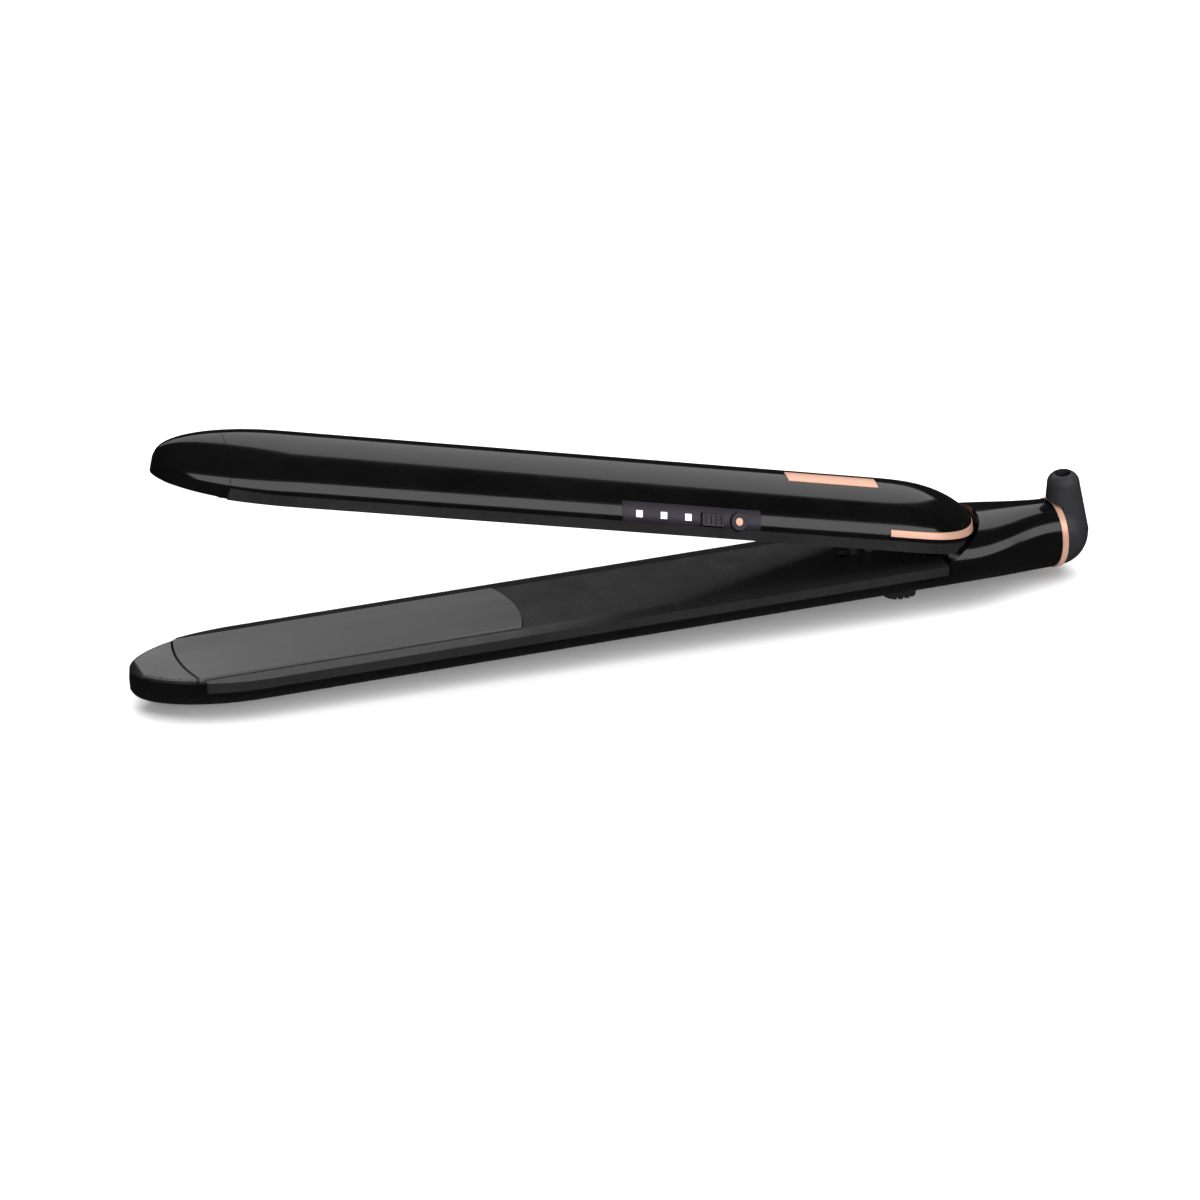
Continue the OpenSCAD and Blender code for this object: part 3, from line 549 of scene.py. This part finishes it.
def make_materials():
    along = (0.08, 1, 1)
    return {
        "gloss": surface("piano_black", (0.002, 0.002, 0.0021), 0.13, 0.3, 0.03, 420, 0.0012,
                         Coat_Weight=0.6, Coat_Roughness=0.05),
        "cover": surface("dark_gloss_cover", (0.012, 0.012, 0.0125), 0.24, 0.2, 0.05, 900, 0.002),
        "pad": surface("tip_pad_grey", (0.075, 0.075, 0.076), 0.3, 0.2, 0.06, 1500, 0.006),
        "cap": surface("inner_black", (0.012, 0.012, 0.013), 0.3, 0.25, 0.06, 1500, 0.004),
        "plate": surface("ceramic_plate", (0.115, 0.115, 0.115), 0.2, 0.1, 0.05, 2600, 0.0015, along,
                         Metallic=0.3),
        "rose": surface("rose_gold", (0.74, 0.43, 0.32), 0.36, 0.08, 0.05, 1800, 0.002, along, Metallic=0.6),
        "matte": surface("matte_black", (0.014, 0.014, 0.015), 0.45, 0.3, 0.08, 1700, 0.02),
        "panel": surface("panel_purple_black", (0.012, 0.009, 0.014), 0.32, 0.25, 0.05, 800, 0.0015),
        "lens": surface("lens_white", (0.85, 0.86, 0.88), 0.35, 0.06, 0.06, 1600, 0.004,
                        Subsurface_Weight=0.3, Subsurface_Scale=0.001),
        "steel": surface("steel", (0.5, 0.5, 0.51), 0.3, 0.12, 0.08, 2200, 0.004, along, Metallic=1.0),
        "spring": surface("spring_steel", (0.36, 0.36, 0.37), 0.34, 0.15, 0.08, 2400, 0.004, Metallic=1.0),
        "bronze": surface("contact_bronze", (0.62, 0.42, 0.18), 0.3, 0.15, 0.08, 2000, 0.004, Metallic=1.0),
        "rubber": surface("rubber", (0.02, 0.02, 0.02), 0.75, 0.3, 0.08, 2600, 0.03),
        "ceramic": surface("ceramic", (0.75, 0.72, 0.64), 0.55, 0.1, 0.1, 1800, 0.02),
        "board": surface("board_green", (0.02, 0.13, 0.05), 0.35, 0.3, 0.08, 1400, 0.02),
        "chip": surface("chip_black", (0.02, 0.02, 0.022), 0.55, 0.3, 0.1, 1800, 0.02),
        "sleeve": surface("silicone_sleeve", (0.55, 0.52, 0.46), 0.5, 0.15, 0.1, 1600, 0.02),
        "acetal": surface("acetal", (0.7, 0.68, 0.6), 0.4, 0.1, 0.08, 1500, 0.01),
    }


CAD_LOOKS = {
    "cover": ["lower_inner_cover", "upper_inner_cover"],
    "plate": ["lower_plate", "upper_plate"],
    "cap": ["lower_plate_tray", "upper_plate_tray", "lock_hook"],
    "rose": ["tail_ring", "power_button_mark"],
    "matte": ["swivel_elbow", "lock_knob"],
    "panel": ["power_button", "mode_button"],
    "lens": ["indicator_lenses"],
    "steel": ["hinge_pin", "hinge_bracket", "bracket_screws", "tail_screws", "lower_tray_screws",
              "upper_tray_screws", "swivel_circlip"],
    "spring": ["torsion_spring", "lower_plate_springs", "upper_plate_springs"],
    "bronze": ["slip_rings", "contact_brushes"],
    "rubber": ["guide_post"],
    "ceramic": ["lower_heater", "upper_heater", "lower_thermistor", "upper_thermistor"],
    "board": ["main_pcb", "switch_board"],
    "chip": ["pcb_components", "tact_switches"],
    "sleeve": ["lower_leads", "upper_leads"],
    "acetal": ["hinge_bush", "swivel_bush"],
}
CAD_BEVELS = {
    "lower_plate": 0.25, "upper_plate": 0.25, "lower_inner_cover": 0.2, "upper_inner_cover": 0.2,
    "tail_ring": 0.3, "lock_knob": 0.3, "lock_hook": 0.15, "indicator_lenses": 0.15,
    "power_button": 0.15, "mode_button": 0.15,
}


def dress_cad(nodes, looks):
    for look, names in CAD_LOOKS.items():
        for name in names:
            obj = nodes[name]
            obj.data.materials.clear()
            obj.data.materials.append(looks[look])
            soften(obj, CAD_BEVELS.get(name, 0))


# ---- stage ----
def make_floor():
    """A pale floor through the knob's and the tip's undersides."""
    size = 4.0
    corners = [(-size, -size, 0), (size, -size, 0), (size, size, 0), (-size, size, 0)]
    obj = mesh_object("floor", corners, [(0, 1, 2, 3)])
    knob = Vector(((HINGE_X + KNOB_X) * MM, 0, 0))
    tip = Vector(((HINGE_X - ARM_L + 12) * MM, 0, (CLOSING_Z - LOWER_T) * MM))
    slope = math.atan2(tip.z - knob.z, knob.x - tip.x)
    tilt = Matrix.Rotation(slope, 4, "Y")
    obj.matrix_world = Matrix.Translation(knob) @ tilt @ Matrix.Translation((0, 0, -0.0001))
    m = Nodes("floor_pale")
    cloud = m.span(m.noise(3, 3), 0, 1)
    m.link(m.blend(cloud, (0.88, 0.88, 0.88), (0.9, 0.9, 0.9)), m.shader.inputs["Base Color"])
    m.set(Roughness=0.9, Specular_IOR_Level=0.1)
    obj.data.materials.append(m.material)
    obj.visible_glossy = False


def area_light(name, place, aim, size, power, glossy=True):
    data = bpy.data.lights.new(name, "AREA")
    data.shape = "RECTANGLE"
    data.size, data.size_y = size
    data.energy = power
    obj = bpy.data.objects.new(name, data)
    bpy.context.scene.collection.objects.link(obj)
    direction = Vector(aim) - Vector(place)
    obj.location = place
    obj.rotation_euler = direction.to_track_quat("-Z", "Y").to_euler()
    obj.visible_glossy = glossy


def make_lights():
    centre = (0, 0, 0.03)
    area_light("key_overhead", (0.1, 0.1, 1.5), centre, (2.4, 2.4), 60, glossy=False)
    area_light("front_fill", (-0.3, -1.6, 0.45), centre, (1.6, 0.8), 30, glossy=False)
    area_light("back_softbox", (0.4, 1.24, 1.5), centre, (3.2, 1.3), 14)
    area_light("front_softbox", (0.3, -1.2, 0.95), centre, (3.0, 0.75), 10)
    world = bpy.data.worlds.new("studio")
    bpy.context.scene.world = world
    world.use_nodes = True
    world.node_tree.nodes["Background"].inputs["Color"].default_value = (0.015, 0.015, 0.016, 1)


CAMERA = {"azimuth": -22.02, "elevation": 27.03, "roll": 1.14, "distance": 1.568, "focal_px": 5557}
TARGET = (-0.0068, 0, 0.0135)


def make_camera():
    az, el, roll = (math.radians(CAMERA[k]) for k in ("azimuth", "elevation", "roll"))
    back = Vector((math.sin(az) * math.cos(el), -math.cos(az) * math.cos(el), math.sin(el)))
    side = Vector((math.cos(az), math.sin(az), 0))
    up = back.cross(side)
    right = side * math.cos(roll) + up * math.sin(roll)
    top = up * math.cos(roll) - side * math.sin(roll)
    data = bpy.data.cameras.new("camera")
    data.sensor_width = 36
    data.lens = data.sensor_width * CAMERA["focal_px"] / 1200
    data.clip_end = 20
    obj = bpy.data.objects.new("camera", data)
    place = Vector(TARGET) + back * CAMERA["distance"]
    columns = Matrix((right, top, back)).transposed().to_4x4()
    obj.matrix_world = Matrix.Translation(place) @ columns
    bpy.context.scene.collection.objects.link(obj)
    bpy.context.scene.camera = obj


# ---- the scene ----
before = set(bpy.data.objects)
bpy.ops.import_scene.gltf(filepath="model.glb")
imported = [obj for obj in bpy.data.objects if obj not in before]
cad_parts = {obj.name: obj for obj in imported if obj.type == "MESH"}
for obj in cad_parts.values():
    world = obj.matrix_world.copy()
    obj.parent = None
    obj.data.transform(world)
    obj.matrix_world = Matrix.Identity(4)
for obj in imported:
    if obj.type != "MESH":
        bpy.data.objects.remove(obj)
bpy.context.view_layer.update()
HINGE_X = hinge_x()
looks = make_materials()
make_camera()
dress_cad(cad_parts, looks)
make_lower_shell(looks["gloss"])
make_upper_shell(looks["gloss"])
make_tail_cover(looks["gloss"])
make_tip_cap("lower_cool_tip", "lower_tip_cap", "lower_arm",
             LOWER_T, LOWER_EDGE, LAND, to_lower, looks["gloss"])
make_tip_cap("upper_cool_tip", "upper_tip_cap", "upper_arm",
             UPPER_T, UPPER_EDGE, 0, to_upper, looks["gloss"])
make_tip_pad("lower_tip_face", "lower_tip_pad", "lower_arm", to_lower, looks["pad"])
make_tip_pad("upper_tip_face", "upper_tip_pad", "upper_arm", to_upper, looks["pad"])
make_trim(looks["rose"])
make_badge(looks["rose"])
make_panel(looks["panel"])
make_floor()
make_lights()
bpy.context.scene.view_settings.view_transform = "Standard"
